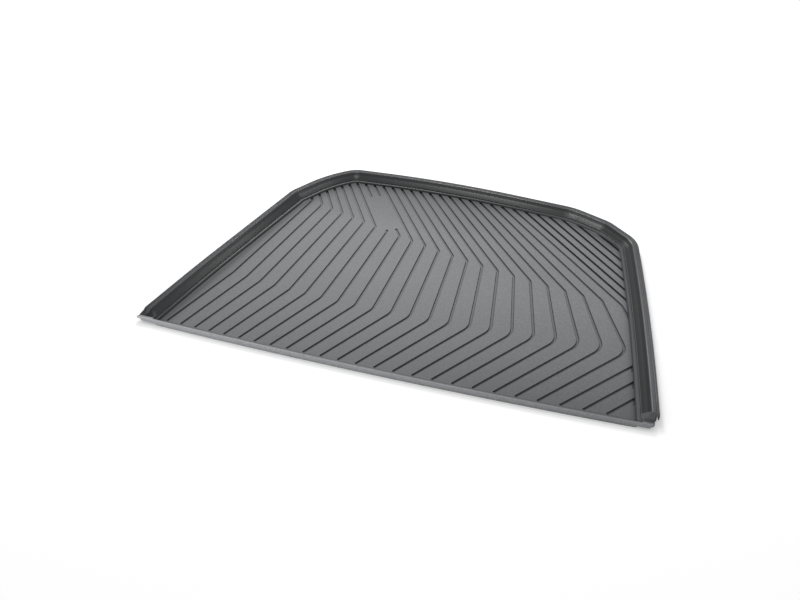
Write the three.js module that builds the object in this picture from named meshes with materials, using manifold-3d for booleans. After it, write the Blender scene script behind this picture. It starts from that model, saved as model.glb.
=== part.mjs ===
// Car boot liner: one moulded tray with low sloping walls, a flat rim and a grooved floor.
// Millimetres. X runs to the right, Y towards the back of the boot, Z up.
// The origin is on the ground, in the middle of the front edge.
import * as THREE from "three";
import { mergeVertices } from "three/addons/utils/BufferGeometryUtils.js";
import Module from "manifold-3d";

const kernel = await Module();
kernel.setup();
const { Manifold, Mesh: KernelMesh } = kernel;

// Heights above the ground
const floorHeight = 5.0;
const ledgeHeight = 7.6;
const stepHeight = 10.5;
const creaseHeight = 16.2;
const rimHeight = 21.5;
const flangeHeight = 21.3;
const skirtBottom = 10.0;
const blockBottom = 6.4;
const lipHeight = 12.0;
const lipBottom = 6.0;

// Distances from the outer edge of the rim towards the inside of the tray
const flangeWidth = 4.8;
const rimWidth = 13.4;
const creaseInset = 19.6;
const stepInset = 29.4;
const ledgeInset = 35.8;
const footInset = 38.8;
const slabInset = 43.0;
const sectionInset = 46.0;
const sheet = 3.0;

// Main sizes in plan: the corners, the rows of grooves and the lip are placed by shares of these
const halfWidth = 500.0;
const depth = 695.0;

// Outer edge of the rim: its two ends, and between them corners rounded from a distance of cut
const frontY = 9.5;
const blockEndY = 38.0;
const leftFront = -1.014;
const rightFront = 0.999;
const rimCorners = [
  { across: -0.948, along: 0.2907, cut: 68.0, steps: 4 },
  { across: -0.812, along: 0.781, cut: 8.7, steps: 3 },
  { across: -0.7104, along: 0.9174, cut: 52.0, steps: 6 },
  { across: -0.5942, along: 0.9888, cut: 19.5, steps: 6 },
  { across: -0.1114, along: 1.0079, cut: 170.0, steps: 10 },
  { across: 0.5034, along: 0.9616, cut: 23.5, steps: 4 },
  { across: 0.6746, along: 0.9072, cut: 12.0, steps: 4 },
  { across: 0.8078, along: 0.8219, cut: 27.0, steps: 7 },
  { across: 0.918, along: 0.4258, cut: 228.0, steps: 8 },
];
const mostRounded = 0.95;

// Front edge: an arc that runs forward in the middle, with a rounded lip over it
const edgeHalfWidth = 0.92 * halfWidth;
const edgeSetBack = 9.0;
const edgeSpare = 20.0;
const lipLeft = -1.004 * halfWidth;
const lipRight = 0.968 * halfWidth;
const lipOverhang = 1.6;
const lipDepth = 9.5;
const lipSteps = 24;

// Corner blocks: the rim comes down to the lip on a slope
const slopeTopY = 35.0;
const slopeBottomY = 17.5;
const flangeEndLeft = 24.0;
const flangeEndRight = 28.5;
const blockInsetLeft = flangeWidth;
const blockInsetRight = 8.2;
const blockRadiusLeft = 2.5;
const blockRadiusRight = 9.0;
const earReach = 3.8;
const earY = 11.0;
const earBottom = 9.2;

// Grooves: each runs from the front edge over a lower and an upper bend to the back wall
const grooveCount = 29;
const grooveDepth = 3.0;
const grooveWidth = 5.2;
const grooveTaper = 0.5;
const frontMargin = 14.5;
const lastParallel = 23;
const bendCut = 15.0;
const upperBendCut = 8.0;
const bendSteps = 4;
const endReach = 0.13 * depth;
const footBite = 1.2;
const tickLength = 15.0;
const tickWidth = 3.4;
const firstTick = 23;
const lastTick = 25;

// Spacing of the grooves along each guide, in shares of halfWidth
const frontRow = { from: 1, to: 25, first: -0.9022, last: 0.8182, growth: 0.259 };
const lowerRow = { from: 1, to: 22, first: -0.7992, last: 0.8478, growth: 0.248 };
const upperRow = { from: 1, to: 23, first: -0.7038, last: 0.7928, growth: 0.2378 };
const backRow = { from: 4, to: 29, first: -0.6592, last: 0.5914, growth: 0.1148 };

// Height of each guide in plan at four even stations, in shares of depth
const guideHalfWidth = 0.9 * halfWidth;
const lowerGuide = [0.326, 0.2194, 0.2732, 0.2909];
const upperGuide = [0.8289, 0.6643, 0.5118, 0.4931];
const backGuide = 0.8921;

// A bare patch of floor near the back, where two grooves break off
const patchCentre = new THREE.Vector2(-0.3536 * halfWidth, 0.7813 * depth);
const patchLength = 142.0;
const patchWidth = 40.0;
const patchTurn = -60.0;

// How far cutters reach past the walls, and above and below the tray
const sideReach = 1.12 * halfWidth;
const clearance = 30.0;

// Front edge of the floor at a given x
function edgeY(x) {
  return edgeSetBack * (x / edgeHalfWidth) ** 2;
}

// A closed solid from points and triangles, turned to face outwards
function closedSolid(points, triangles) {
  const a = new THREE.Vector3();
  const b = new THREE.Vector3();
  let volume = 0;
  for (const [i, j, k] of triangles) {
    a.copy(points[i]);
    b.copy(points[j]);
    volume += a.dot(b.cross(points[k]));
  }
  const triVerts = new Uint32Array(triangles.length * 3);
  triangles.forEach(([i, j, k], n) => {
    triVerts.set(volume < 0 ? [i, k, j] : [i, j, k], n * 3);
  });
  const vertProperties = new Float32Array(points.flatMap((p) => [p.x, p.y, p.z]));
  return new Manifold(new KernelMesh({ numProp: 3, vertProperties, triVerts }));
}

// Sweeps a closed section of [offset, height] points along stations in plan
function sweep(stations, section) {
  const count = section.length;
  const points = [];
  for (const { at, side } of stations) {
    for (const [offset, height] of section) {
      points.push(new THREE.Vector3(at.x + side.x * offset, at.y + side.y * offset, height));
    }
  }
  const triangles = [];
  for (let s = 0; s + 1 < stations.length; s++) {
    for (let i = 0; i < count; i++) {
      const here = s * count + i;
      const next = s * count + ((i + 1) % count);
      triangles.push([here, next, next + count]);
      triangles.push([here, next + count, here + count]);
    }
  }
  const contour = section.map(([offset, height]) => new THREE.Vector2(offset, height));
  const clockwise = THREE.ShapeUtils.isClockWise(contour);
  const last = (stations.length - 1) * count;
  for (const face of THREE.ShapeUtils.triangulateShape(contour, [])) {
    const [i, j, k] = clockwise ? [face[0], face[2], face[1]] : face;
    triangles.push([i, k, j]);
    triangles.push([last + i, last + j, last + k]);
  }
  return closedSolid(points, triangles);
}

// Stations along a line of points, with mitred sides to the right of the way it runs
function stationsAlong(line, startSide, endSide) {
  const normals = [];
  for (let i = 0; i + 1 < line.length; i++) {
    const way = line[i + 1].clone().sub(line[i]).normalize();
    normals.push(new THREE.Vector2(way.y, -way.x));
  }
  return line.map((at, i) => {
    const before = normals[Math.max(i - 1, 0)];
    const after = normals[Math.min(i, normals.length - 1)];
    const side = before.clone().add(after).divideScalar(1 + before.dot(after));
    if (i === 0 && startSide) side.copy(startSide);
    if (i === line.length - 1 && endSide) side.copy(endSide);
    return { at, side };
  });
}

// A flat outline raised between two heights
function prism(outline, bottom, top) {
  const geometry = new THREE.ExtrudeGeometry(new THREE.Shape(outline), {
    depth: top - bottom,
    bevelEnabled: false,
  });
  geometry.translate(0, 0, bottom);
  return fromGeometry(geometry);
}

function fromGeometry(geometry) {
  geometry.deleteAttribute("normal");
  geometry.deleteAttribute("uv");
  const merged = mergeVertices(geometry, 1e-3);
  return new Manifold(
    new KernelMesh({
      numProp: 3,
      vertProperties: merged.attributes.position.array,
      triVerts: new Uint32Array(merged.index.array),
    }),
  );
}

// A side profile of [y, z] points carried across the whole width
function acrossProfile(profile) {
  const line = [new THREE.Vector2(-sideReach, 0), new THREE.Vector2(sideReach, 0)];
  const towardsBack = new THREE.Vector2(0, 1);
  return sweep(stationsAlong(line, towardsBack, towardsBack), profile);
}

// A line with its inner corners rounded, each from its own distance and in its own number of steps
function roundedLine(corners, cuts, steps) {
  const line = [corners[0]];
  for (let i = 1; i + 1 < corners.length; i++) {
    const here = corners[i];
    const before = corners[i - 1].clone().sub(here).setLength(cuts[i - 1]).add(here);
    const after = corners[i + 1].clone().sub(here).setLength(cuts[i - 1]).add(here);
    line.push(...new THREE.QuadraticBezierCurve(before, here, after).getPoints(steps[i - 1]));
  }
  line.push(corners[corners.length - 1]);
  return line;
}

// Distances of cut, shortened where two roundings would meet on the side between them
function fittingCuts(corners, cuts) {
  const fitted = [...cuts];
  for (let i = 0; i + 1 < cuts.length; i++) {
    const side = corners[i + 1].distanceTo(corners[i + 2]);
    const share = (mostRounded * side) / (cuts[i] + cuts[i + 1]);
    fitted[i] = Math.min(fitted[i], cuts[i] * share);
    fitted[i + 1] = Math.min(fitted[i + 1], cuts[i + 1] * share);
  }
  return fitted;
}

// The point of a straight line between two others at a given y
function pointAtY(from, to, y) {
  return from.clone().lerp(to, (y - from.y) / (to.y - from.y));
}

// Outer edge of the rim, from the left front corner round the back to the right front corner
function rimLine() {
  const start = new THREE.Vector2(leftFront * halfWidth, frontY);
  const end = new THREE.Vector2(rightFront * halfWidth, frontY);
  const inner = rimCorners.map((c) => new THREE.Vector2(c.across * halfWidth, c.along * depth));
  const corners = [start, ...inner, end];
  const cuts = fittingCuts(corners, rimCorners.map((corner) => corner.cut));
  const steps = rimCorners.map((corner) => corner.steps);
  const line = roundedLine(corners, cuts, steps);
  line.splice(1, 0, pointAtY(start, line[1], blockEndY));
  line.splice(-1, 0, pointAtY(end, line[line.length - 2], blockEndY));
  return line;
}

const inFromLeft = new THREE.Vector2(1, 0);
const inFromRight = new THREE.Vector2(-1, 0);
const rim = stationsAlong(rimLine(), inFromLeft, inFromRight);

// The line at a given distance inside the rim's outer edge
function insetLine(distance) {
  return rim.map(({ at, side }) => at.clone().addScaledVector(side, distance));
}

// Upper face of the wall from the ledge to the outer flange
const upperFace = [
  [ledgeInset + 0.6, ledgeHeight - 0.3],
  [ledgeInset - 0.4, ledgeHeight],
  [stepInset + 1.7, ledgeHeight + 0.3],
  [stepInset + 0.5, stepHeight - 0.5],
  [stepInset - 0.6, stepHeight + 0.2],
  [creaseInset, creaseHeight],
  [rimWidth + 1.2, rimHeight - 1.9],
  [rimWidth, rimHeight - 1.0],
  [rimWidth - 1.4, rimHeight - 0.2],
  [rimWidth - 3.0, rimHeight],
  [flangeWidth + 1.8, rimHeight],
  [flangeWidth + 0.7, rimHeight - 0.7],
  [flangeWidth, rimHeight - 0.8],
];

// Wall section: upper face, outer skirt, then back along the underside
const wallSection = [
  [sectionInset, floorHeight],
  [footInset, floorHeight],
  ...upperFace,
  [flangeWidth - 0.8, flangeHeight],
  [1.2, flangeHeight - 0.1],
  [0.4, flangeHeight - 0.5],
  [0.0, flangeHeight - 1.6],
  [0.3, skirtBottom],
  [sheet - 0.2, skirtBottom],
  [sheet, flangeHeight - sheet],
  [flangeWidth + 0.6, rimHeight - sheet - 0.2],
  [rimWidth - 1.2, rimHeight - sheet],
  [creaseInset - 1.4, creaseHeight - sheet],
  [stepInset - 1.8, stepHeight - sheet + 0.2],
  [stepInset - 0.4, ledgeHeight - sheet + 0.4],
  [ledgeInset - 1.0, ledgeHeight - sheet],
  [footInset - 0.6, 1.4],
  [footInset + 0.8, 0],
  [sectionInset, 0],
];

// Corner blocks are solid under the same upper face
const blockSection = [
  ...upperFace,
  [flangeWidth, blockBottom],
  [ledgeInset + 0.6, blockBottom],
];

// Floor slab between the foot of the walls and the front edge
function floorSlab() {
  const inner = insetLine(slabInset);
  const outline = inner.slice(1, -1);
  const startX = inner[0].x;
  const endX = inner[inner.length - 1].x;
  for (let i = 0; i <= lipSteps; i++) {
    const x = endX + ((startX - endX) * i) / lipSteps;
    outline.push(new THREE.Vector2(x, edgeY(x)));
  }
  return prism(outline, 0, floorHeight);
}

// Rounded lip along the front edge; offsets run towards the back
function frontLip() {
  const line = [];
  for (let i = 0; i <= lipSteps; i++) {
    const x = lipLeft + ((lipRight - lipLeft) * i) / lipSteps;
    line.push(new THREE.Vector2(x, edgeY(x)));
  }
  const section = [
    [0.6, lipBottom],
    [0.5 - lipOverhang, lipBottom],
    [-lipOverhang, lipBottom + 0.6],
    [-lipOverhang, lipHeight - 3.0],
    [0.9 - lipOverhang, lipHeight - 1.0],
    [2.6 - lipOverhang, lipHeight - 0.1],
    [4.2 - lipOverhang, lipHeight],
    [5.6 - lipOverhang, lipHeight - 0.7],
    [lipDepth - 1.6, floorHeight + 1.8],
    [lipDepth, floorHeight + 0.2],
    [lipDepth, floorHeight - 2.0],
    [0.6, floorHeight - 2.0],
  ];
  const backwards = section.map(([offset, height]) => [-offset, height]);
  return sweep(stationsAlong(line), backwards);
}

// The flange stops short of the corner blocks, and the blocks have rounded corners
function endCuts() {
  const cuts = [];
  const ends = [
    [rim.slice(0, 2), blockInsetLeft, flangeEndLeft],
    [rim.slice(-2), blockInsetRight, flangeEndRight],
  ];
  for (const [pair, inset, endY] of ends) {
    const band = [
      [-clearance, blockBottom - 2],
      [inset, blockBottom - 2],
      [inset, rimHeight + clearance],
      [-clearance, rimHeight + clearance],
    ];
    const box = [
      [-clearance, -clearance],
      [endY, -clearance],
      [endY, rimHeight + clearance * 2],
      [-clearance, rimHeight + clearance * 2],
    ];
    cuts.push(sweep(pair, band).intersect(acrossProfile(box)));
  }
  const blockCorners = [
    [rim[0].at.x + blockInsetLeft, 1, blockRadiusLeft],
    [rim[rim.length - 1].at.x - blockInsetRight, -1, blockRadiusRight],
  ];
  for (const [x, inward, radius] of blockCorners) {
    const outline = [new THREE.Vector2(x - inward * 2, frontY - 2)];
    outline.push(new THREE.Vector2(x - inward * 2, frontY + radius));
    for (let i = 0; i <= 6; i++) {
      const angle = (Math.PI / 2) * (i / 6);
      outline.push(
        new THREE.Vector2(
          x + inward * radius * (1 - Math.cos(angle)),
          frontY + radius * (1 - Math.sin(angle)),
        ),
      );
    }
    outline.push(new THREE.Vector2(x + inward * radius, frontY - 2));
    cuts.push(prism(outline, -2, rimHeight + clearance));
  }
  return Manifold.union(cuts);
}

// The blocks slope down to the lip, and under the lip all ends at the front edge of the floor
function frontCuts() {
  const slope = [
    [-clearance, lipHeight],
    [slopeBottomY, lipHeight],
    [slopeTopY, rimHeight],
    [slopeTopY + 2, rimHeight + 1.2],
    [slopeTopY + 2, rimHeight + clearance],
    [-clearance, rimHeight + clearance],
  ];
  const underLip = [];
  const underEnd = edgeHalfWidth + edgeSpare;
  for (let i = 0; i <= lipSteps; i++) {
    const x = underEnd * ((2 * i) / lipSteps - 1);
    underLip.push(new THREE.Vector2(x, edgeY(x)));
  }
  underLip.push(new THREE.Vector2(underEnd, -clearance));
  underLip.push(new THREE.Vector2(-underEnd, -clearance));
  return Manifold.union([acrossProfile(slope), prism(underLip, -2, lipBottom)]);
}

// Position along a row of grooves whose spacing grows from left to right
function spaced(row, index) {
  const t = (index - row.from) / (row.to - row.from);
  const share = row.first * (1 - t) + row.last * t + row.growth * (t * t - t);
  return share * halfWidth;
}

// Height of a guide in plan at a given x
function guideY(heights, x) {
  const t = (x + guideHalfWidth) / (2 * guideHalfWidth);
  const u = 1 - t;
  const ends = heights[0] * u ** 3 + heights[3] * t ** 3;
  const middle = 3 * u * t * (heights[1] * u + heights[2] * t);
  return (ends + middle) * depth;
}

// The four corners of one groove's centre line, from front to back
function grooveCorners(index) {
  const frontX = spaced(frontRow, index);
  const lowerX = spaced(lowerRow, Math.min(index, lastParallel));
  const upperX = spaced(upperRow, Math.min(index, lastParallel));
  const backX = spaced(backRow, index);
  const front = new THREE.Vector2(frontX, edgeY(frontX) + frontMargin);
  const lower = new THREE.Vector2(lowerX, guideY(lowerGuide, lowerX));
  const upper = new THREE.Vector2(upperX, guideY(upperGuide, upperX));
  const back = new THREE.Vector2(backX, backGuide * depth);
  if (index > lastParallel) {
    lower.x += frontX - spaced(frontRow, lastParallel);
    upper.x += backX - spaced(backRow, lastParallel);
  }
  const beyond = back.clone().sub(upper).setLength(endReach);
  return { front, lower, upper, back: back.clone().add(beyond) };
}

// A channel cutter with sloping sides along a line
function channel(line, width) {
  const half = width / 2;
  const bottom = floorHeight - grooveDepth;
  const rise = 2 * grooveDepth;
  const section = [
    [-half + grooveTaper, bottom],
    [half - grooveTaper, bottom],
    [half + grooveTaper, bottom + rise],
    [-half - grooveTaper, bottom + rise],
  ];
  return sweep(stationsAlong(line), section);
}

// Where a line from one point to another first meets a chain of points
function meetingPoint(from, to, chain) {
  const way = to.clone().sub(from);
  let found = null;
  for (let i = 0; i + 1 < chain.length; i++) {
    const span = chain[i + 1].clone().sub(chain[i]);
    const gap = chain[i].clone().sub(from);
    const cross = way.cross(span);
    const along = gap.cross(span) / cross;
    const across = gap.cross(way) / cross;
    if (along > 0 && across >= 0 && across <= 1 && (!found || along < found.along)) {
      found = { along, at: from.clone().addScaledVector(way, along), span: span.normalize() };
    }
  }
  return found;
}

// All grooves, ending a little way into the foot of the walls
function grooves() {
  const cutters = [];
  const foot = insetLine(footInset - footBite);
  const footEdge = insetLine(footInset + tickWidth / 2 - footBite);
  for (let index = 1; index <= grooveCount; index++) {
    const { front, lower, upper, back } = grooveCorners(index);
    if (index <= lastParallel) {
      const bends = [bendCut, upperBendCut];
      const line = roundedLine([front, lower, upper, back], bends, [bendSteps, bendSteps]);
      cutters.push(channel(line, grooveWidth));
    } else {
      cutters.push(channel([upper, back], grooveWidth));
    }
    if (index > lastParallel && index <= frontRow.to) {
      cutters.push(channel([front, lower], grooveWidth));
    }
    if (index >= firstTick && index <= lastTick) {
      const end = meetingPoint(front, lower, footEdge);
      if (end) {
        const tickEnd = end.at.clone().addScaledVector(end.span, tickLength);
        cutters.push(channel([end.at, tickEnd], tickWidth));
      }
    }
  }
  foot[0].y = 0;
  foot[foot.length - 1].y = 0;
  return Manifold.union(cutters)
    .intersect(prism(foot, -1, floorHeight + clearance))
    .subtract(barePatch());
}

function barePatch() {
  const geometry = new THREE.BoxGeometry(patchLength, patchWidth, floorHeight * 4);
  geometry.rotateZ(THREE.MathUtils.degToRad(patchTurn));
  geometry.translate(patchCentre.x, patchCentre.y, 0);
  return fromGeometry(geometry);
}

// The left block runs out to a pointed ear beyond the rim
function leftEar() {
  const root = rim[0].at.x + blockInsetLeft + 2.0;
  const outline = [
    new THREE.Vector2(root, frontY),
    new THREE.Vector2(root, flangeEndLeft + 4.0),
    new THREE.Vector2(rim[0].at.x + blockInsetLeft, flangeEndLeft + 4.0),
    new THREE.Vector2(rim[0].at.x + 2.2, flangeEndLeft + 1.0),
    new THREE.Vector2(rim[0].at.x - earReach, earY),
    new THREE.Vector2(rim[0].at.x - earReach + 2.4, frontY),
  ];
  return prism(outline.reverse(), earBottom, rimHeight);
}

const wall = sweep(rim, wallSection);
const leftBlock = sweep(rim.slice(0, 2), blockSection);
const rightBlock = sweep(rim.slice(-2), blockSection);
const tray = Manifold.union([floorSlab(), wall, leftBlock, rightBlock])
  .subtract(endCuts())
  .add(leftEar())
  .subtract(frontCuts())
  .add(frontLip())
  .subtract(grooves());

// The solid as a three.js geometry
function toGeometry(solid) {
  const mesh = solid.getMesh();
  const geometry = new THREE.BufferGeometry();
  const step = mesh.numProp;
  const positions = new Float32Array(mesh.numVert * 3);
  for (let i = 0; i < mesh.numVert; i++) {
    positions.set(mesh.vertProperties.subarray(i * step, i * step + 3), i * 3);
  }
  geometry.setAttribute("position", new THREE.BufferAttribute(positions, 3));
  geometry.setIndex(new THREE.BufferAttribute(mesh.triVerts, 1));
  return geometry;
}

const rubber = new THREE.MeshStandardMaterial({ color: 0x56585b, roughness: 0.8 });
const liner = new THREE.Mesh(toGeometry(tray), rubber);
liner.name = "boot_liner";

const group = new THREE.Group();
group.name = "car_boot_liner";
group.add(liner);

export default group;
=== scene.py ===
import math

import bmesh
import bpy
import numpy as np
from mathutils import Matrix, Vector


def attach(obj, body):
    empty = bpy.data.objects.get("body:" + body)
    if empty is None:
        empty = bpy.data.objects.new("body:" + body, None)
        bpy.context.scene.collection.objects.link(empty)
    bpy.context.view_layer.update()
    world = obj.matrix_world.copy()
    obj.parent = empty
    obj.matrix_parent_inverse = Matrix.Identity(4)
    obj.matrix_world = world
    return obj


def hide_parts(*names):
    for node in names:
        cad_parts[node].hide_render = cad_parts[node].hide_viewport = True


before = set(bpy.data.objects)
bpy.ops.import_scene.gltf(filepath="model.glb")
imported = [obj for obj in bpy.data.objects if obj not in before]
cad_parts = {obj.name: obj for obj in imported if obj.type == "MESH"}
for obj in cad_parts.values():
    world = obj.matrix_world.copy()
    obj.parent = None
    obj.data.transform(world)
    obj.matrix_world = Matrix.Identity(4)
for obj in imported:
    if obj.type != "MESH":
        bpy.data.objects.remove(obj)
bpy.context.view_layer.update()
print("boot liner: frame loaded")

scene = bpy.context.scene
scene.view_settings.view_transform = "Standard"
mm = 0.001
weldDistance = 1e-6  # metres


# small helpers


def toMetres(points):
    return [tuple(c * mm for c in p) for p in points]


def meshObject(name, points, edges=(), faces=()):
    mesh = bpy.data.meshes.new(name)
    mesh.from_pydata(toMetres(points), list(edges), list(faces))
    mesh.update()
    made = bpy.data.objects.new(name, mesh)
    scene.collection.objects.link(made)
    return made


def lineObject(name, lines):
    # several open lines in plan, as one mesh of edges
    points, edges = [], []
    for line in lines:
        first = len(points)
        points += [(x, y, 0.0) for x, y in line]
        edges += [(first + i, first + i + 1) for i in range(len(line) - 1)]
    return meshObject(name, points, edges)


def sectionObject(name, points):
    # a closed section: offset to the right of the path, then height
    curve = bpy.data.curves.new(name, "CURVE")
    curve.dimensions = "2D"
    spline = curve.splines.new("POLY")
    spline.points.add(len(points) - 1)
    for p, (offset, height) in zip(spline.points, points):
        p.co = (offset * mm, -height * mm, 0, 1)  # the sweep turns the section's y downwards
    spline.use_cyclic_u = True
    made = bpy.data.objects.new(name, curve)
    scene.collection.objects.link(made)
    return made


def prismObject(name, outline, bottom, top):
    count = len(outline)
    points = [(x, y, bottom) for x, y in outline] + [(x, y, top) for x, y in outline]
    sides = [(i, (i + 1) % count, count + (i + 1) % count, count + i) for i in range(count)]
    faces = [tuple(range(count))[::-1], tuple(range(count, 2 * count))] + sides
    made = meshObject(name, points, (), faces)
    area = sum(a[0] * b[1] - b[0] * a[1] for a, b in zip(outline, outline[1:] + outline[:1]))
    if area < 0:
        made.data.flip_normals()
    return made


def addNode(tree, kind, x, y, **values):
    node = tree.nodes.new(kind)
    node.location = (x, y)
    for key, value in values.items():
        setattr(node, key, value)
    return node


def geometryTree(name, sockets):
    tree = bpy.data.node_groups.new(name, "GeometryNodeTree")
    tree.interface.new_socket("Geometry", in_out="INPUT", socket_type="NodeSocketGeometry")
    tree.interface.new_socket("Geometry", in_out="OUTPUT", socket_type="NodeSocketGeometry")
    for label, kind, value in sockets:
        made = tree.interface.new_socket(label, in_out="INPUT", socket_type=kind)
        if value is not None:
            made.default_value = value
    start = addNode(tree, "NodeGroupInput", -900, 0)
    end = addNode(tree, "NodeGroupOutput", 900, 0)
    return tree, start, end


def useTree(target, tree, **values):
    modifier = target.modifiers.new(tree.name, "NODES")
    modifier.node_group = tree
    for item in tree.interface.items_tree:
        if item.in_out == "INPUT" and item.name in values:
            modifier[item.identifier] = values[item.name]


def plainMesh(source, name):
    # the evaluated shape as a mesh of its own; the source goes
    bpy.context.view_layer.update()
    evaluated = source.evaluated_get(bpy.context.evaluated_depsgraph_get())
    mesh = bpy.data.meshes.new_from_object(evaluated)
    mesh.name = name
    made = bpy.data.objects.new(name, mesh)
    scene.collection.objects.link(made)
    source.modifiers.clear()
    bpy.data.objects.remove(source)
    faceOutwards(mesh)
    return made


def faceOutwards(mesh):
    shell = bmesh.new()
    shell.from_mesh(mesh)
    bmesh.ops.remove_doubles(shell, verts=shell.verts, dist=weldDistance)
    bmesh.ops.recalc_face_normals(shell, faces=shell.faces)
    shell.to_mesh(mesh)
    shell.free()


def combine(base, steps, name):
    for operation, other in steps:
        modifier = base.modifiers.new(other.name, "BOOLEAN")
        modifier.operation = operation
        modifier.solver = "MANIFOLD"
        modifier.object = other
    made = plainMesh(base, name)
    for operation, other in steps:
        bpy.data.objects.remove(other)
    return made


# where the rim runs, in millimetres in plan
rimPath = {
    "halfWidth": 500.0,
    "depth": 695.0,
    "frontY": 9.5,
    "leftFront": -1.014,
    "rightFront": 0.999,
    "corners": [  # share across, share along, rounded from this far, in this many steps
        (-0.948, 0.2907, 68.0, 6),
        (-0.812, 0.781, 8.7, 6),
        (-0.7104, 0.9174, 52.0, 12),
        (-0.5942, 0.9888, 19.5, 12),
        (-0.1114, 1.0079, 170.0, 20),
        (0.5034, 0.9616, 23.5, 8),
        (0.6746, 0.9072, 12.0, 7),
        (0.8078, 0.8219, 27.0, 14),
        (0.918, 0.4258, 228.0, 16),
    ],
    "runOut": 24.0,
}


def rimLine():
    path = rimPath
    start = np.array([path["leftFront"] * path["halfWidth"], path["frontY"]])
    end = np.array([path["rightFront"] * path["halfWidth"], path["frontY"]])
    turns = [np.array([c[0] * path["halfWidth"], c[1] * path["depth"]]) for c in path["corners"]]
    points = [start] + turns + [end]
    line = [start]
    for i, (across, along, cut, steps) in enumerate(path["corners"], 1):
        here = points[i]
        before = points[i - 1] - here
        after = points[i + 1] - here
        before = here + before / np.linalg.norm(before) * cut
        after = here + after / np.linalg.norm(after) * cut
        for t in np.linspace(0, 1, steps + 1):
            line.append((1 - t) ** 2 * before + 2 * t * (1 - t) * here + t**2 * after)
    return np.array(line + [end])


def longer(line, distance):
    # the line run straight on at both ends
    start = line[0] + (line[0] - line[1]) / np.linalg.norm(line[0] - line[1]) * distance
    end = line[-1] + (line[-1] - line[-2]) / np.linalg.norm(line[-1] - line[-2]) * distance
    return np.vstack([start, line, end])


def inset(line, distance):
    # a line a given distance to the right of the way this one runs
    way = np.diff(line, axis=0)
    way /= np.linalg.norm(way, axis=1)[:, None]
    side = np.stack([way[:, 1], -way[:, 0]], 1)
    before = np.vstack([side[:1], side])
    after = np.vstack([side, side[-1:]])
    mitre = (before + after) / (1 + (before * after).sum(1))[:, None]
    return line + mitre * distance


rim = rimLine()
longRim = longer(rim, rimPath["runOut"])

# the sweep used for the walls, the corner blocks, the lip and most cutters


def sweepAndFinish(tree, start, end, path, profile):
    # the profile swept along the path, made real and given its material
    normals = addNode(tree, "GeometryNodeSetCurveNormal", -200, 100, mode="Z_UP")
    swept = addNode(tree, "GeometryNodeCurveToMesh", 0, 0)
    swept.inputs["Fill Caps"].default_value = True
    real = addNode(tree, "GeometryNodeRealizeInstances", 300, 0)
    finish = addNode(tree, "GeometryNodeSetMaterial", 600, 0)
    link = tree.links.new
    link(path, normals.inputs["Curve"])
    link(normals.outputs["Curve"], swept.inputs["Curve"])
    link(profile, swept.inputs["Profile Curve"])
    link(swept.outputs["Mesh"], real.inputs["Geometry"])
    link(real.outputs["Geometry"], finish.inputs["Geometry"])
    link(start.outputs["Finish"], finish.inputs["Material"])
    link(finish.outputs["Geometry"], end.inputs["Geometry"])


sweepTree, start, end = geometryTree(
    "sweepSection",
    [
        ("Section", "NodeSocketObject", None),
        ("Edge radius", "NodeSocketFloat", 0.0006),
        ("Edge steps", "NodeSocketInt", 3),
        ("Finish", "NodeSocketMaterial", None),
    ],
)
toCurve = addNode(sweepTree, "GeometryNodeMeshToCurve", -600, 100)
section = addNode(sweepTree, "GeometryNodeObjectInfo", -700, -200)
rounded = addNode(sweepTree, "GeometryNodeFilletCurve", -400, -200, mode="POLY")
rounded.inputs["Limit Radius"].default_value = True
link = sweepTree.links.new
link(start.outputs["Geometry"], toCurve.inputs["Mesh"])
link(start.outputs["Section"], section.inputs["Object"])
link(section.outputs["Geometry"], rounded.inputs["Curve"])
link(start.outputs["Edge radius"], rounded.inputs["Radius"])
link(start.outputs["Edge steps"], rounded.inputs["Count"])
sweepAndFinish(sweepTree, start, end, toCurve.outputs["Curve"], rounded.outputs["Curve"])


def sweepObject(name, lines, sectionPoints, finishMaterial, radius=0.6, steps=3):
    path = lineObject(name + "Path", lines)
    profile = sectionObject(name + "Section", sectionPoints)
    useTree(
        path,
        sweepTree,
        **{"Section": profile, "Edge radius": radius * mm, "Edge steps": steps, "Finish": finishMaterial},
    )
    made = plainMesh(path, name)
    bpy.data.objects.remove(profile)
    return made


# section of the walls, and the curve of the front edge
wallShape = {
    "section": [
        (46.0, 5.0), (38.8, 5.0), (35.4, 7.6), (31.1, 7.9), (29.9, 10.3), (19.6, 16.2),
        (14.6, 19.6), (13.4, 20.5), (11.6, 21.5), (6.2, 21.5), (5.3, 20.7), (4.7, 20.7),
        (4.0, 21.35), (0.9, 21.2), (0.0, 20.3), (0.3, 10.0), (2.8, 10.0), (3.0, 18.3),
        (5.4, 18.3), (12.2, 18.5), (18.2, 13.2),
        (27.6, 7.7), (29.0, 5.0), (34.8, 4.6), (38.2, 1.4), (39.6, 0.0), (46.0, 0.0),
    ],
    "blockSection": [
        (36.4, 7.3), (35.4, 7.6), (31.1, 7.9), (29.9, 10.3), (19.6, 16.2), (14.6, 19.6),
        (13.4, 20.5), (11.6, 21.5), (6.2, 21.5), (5.3, 20.7), (4.8, 20.7), (4.8, 6.4), (36.4, 6.4),
    ],
    "footInset": 38.8,
    "slabInset": 43.0,
    "floorHeight": 5.0,
    "rimHeight": 21.5,
    "blockEndY": 38.0,
    "sharpAngle": 38.0,
    "frontCut": {"halfWidth": 600.0, "y": -80.0, "bottom": -20.0, "top": 80.0},
}
frontEdge = {"halfWidth": 460.0, "setBack": 9.0, "steps": 48}

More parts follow.
